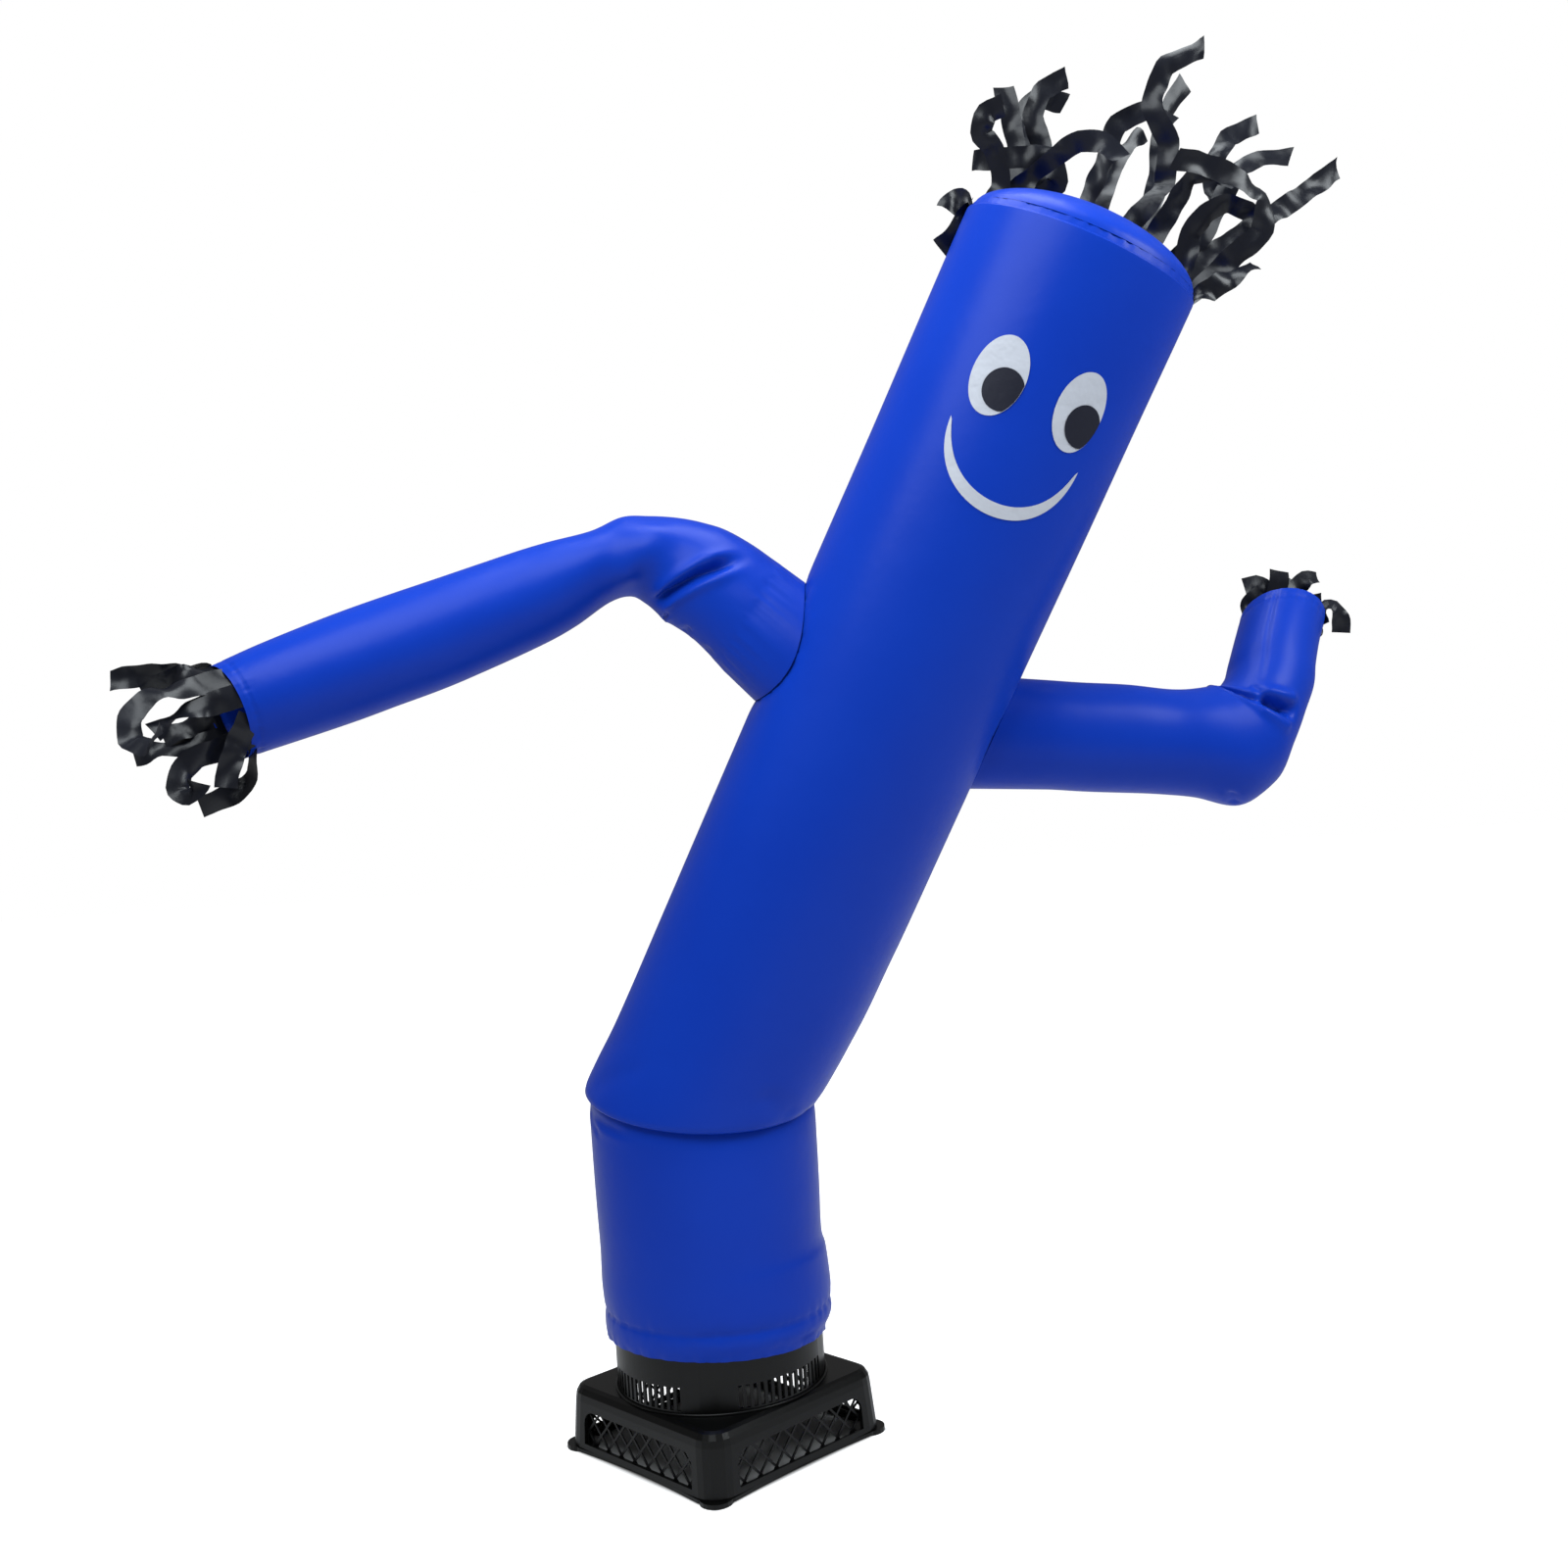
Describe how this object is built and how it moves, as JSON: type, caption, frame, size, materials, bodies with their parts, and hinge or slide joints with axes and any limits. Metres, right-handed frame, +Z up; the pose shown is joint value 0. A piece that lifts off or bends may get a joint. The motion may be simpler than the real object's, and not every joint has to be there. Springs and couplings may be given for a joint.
{
  "type": "inflatable air dancer with blower",
  "caption": "Blue nylon air dancer bending over its square black blower, with a smiling face, raised sleeves and black ribbon hair and cuffs.",
  "frame": {"origin": "centre of the bounding box on the floor", "axes": "+Z up; the face looks to -Y; the body leans towards +X"},
  "size_m": [1.4515, 0.5038, 1.6085],
  "materials": {
    "blue_nylon": "satin",
    "white_nylon": "satin",
    "black_nylon": "satin",
    "black_plastic": "satin"
  },
  "bodies": {
    "root": {"body_tube": "blue_nylon", "arm_left": "blue_nylon", "arm_right": "blue_nylon", "head_top_panel": "blue_nylon", "eye_white_left": "white_nylon", "eye_white_right": "white_nylon", "mouth": "white_nylon", "pupil_left": "black_nylon", "pupil_right": "black_nylon", "hair_fringe": "black_nylon", "cuff_fringe_left": "black_nylon", "cuff_fringe_right": "black_nylon", "blower_housing": "black_plastic", "blower_foot_frame": "black_plastic", "blower_collar": "black_plastic", "grille_front_left": "black_plastic", "grille_front_right": "black_plastic", "grille_back_right": "black_plastic", "grille_back_left": "black_plastic"}
  },
  "joints": []
}
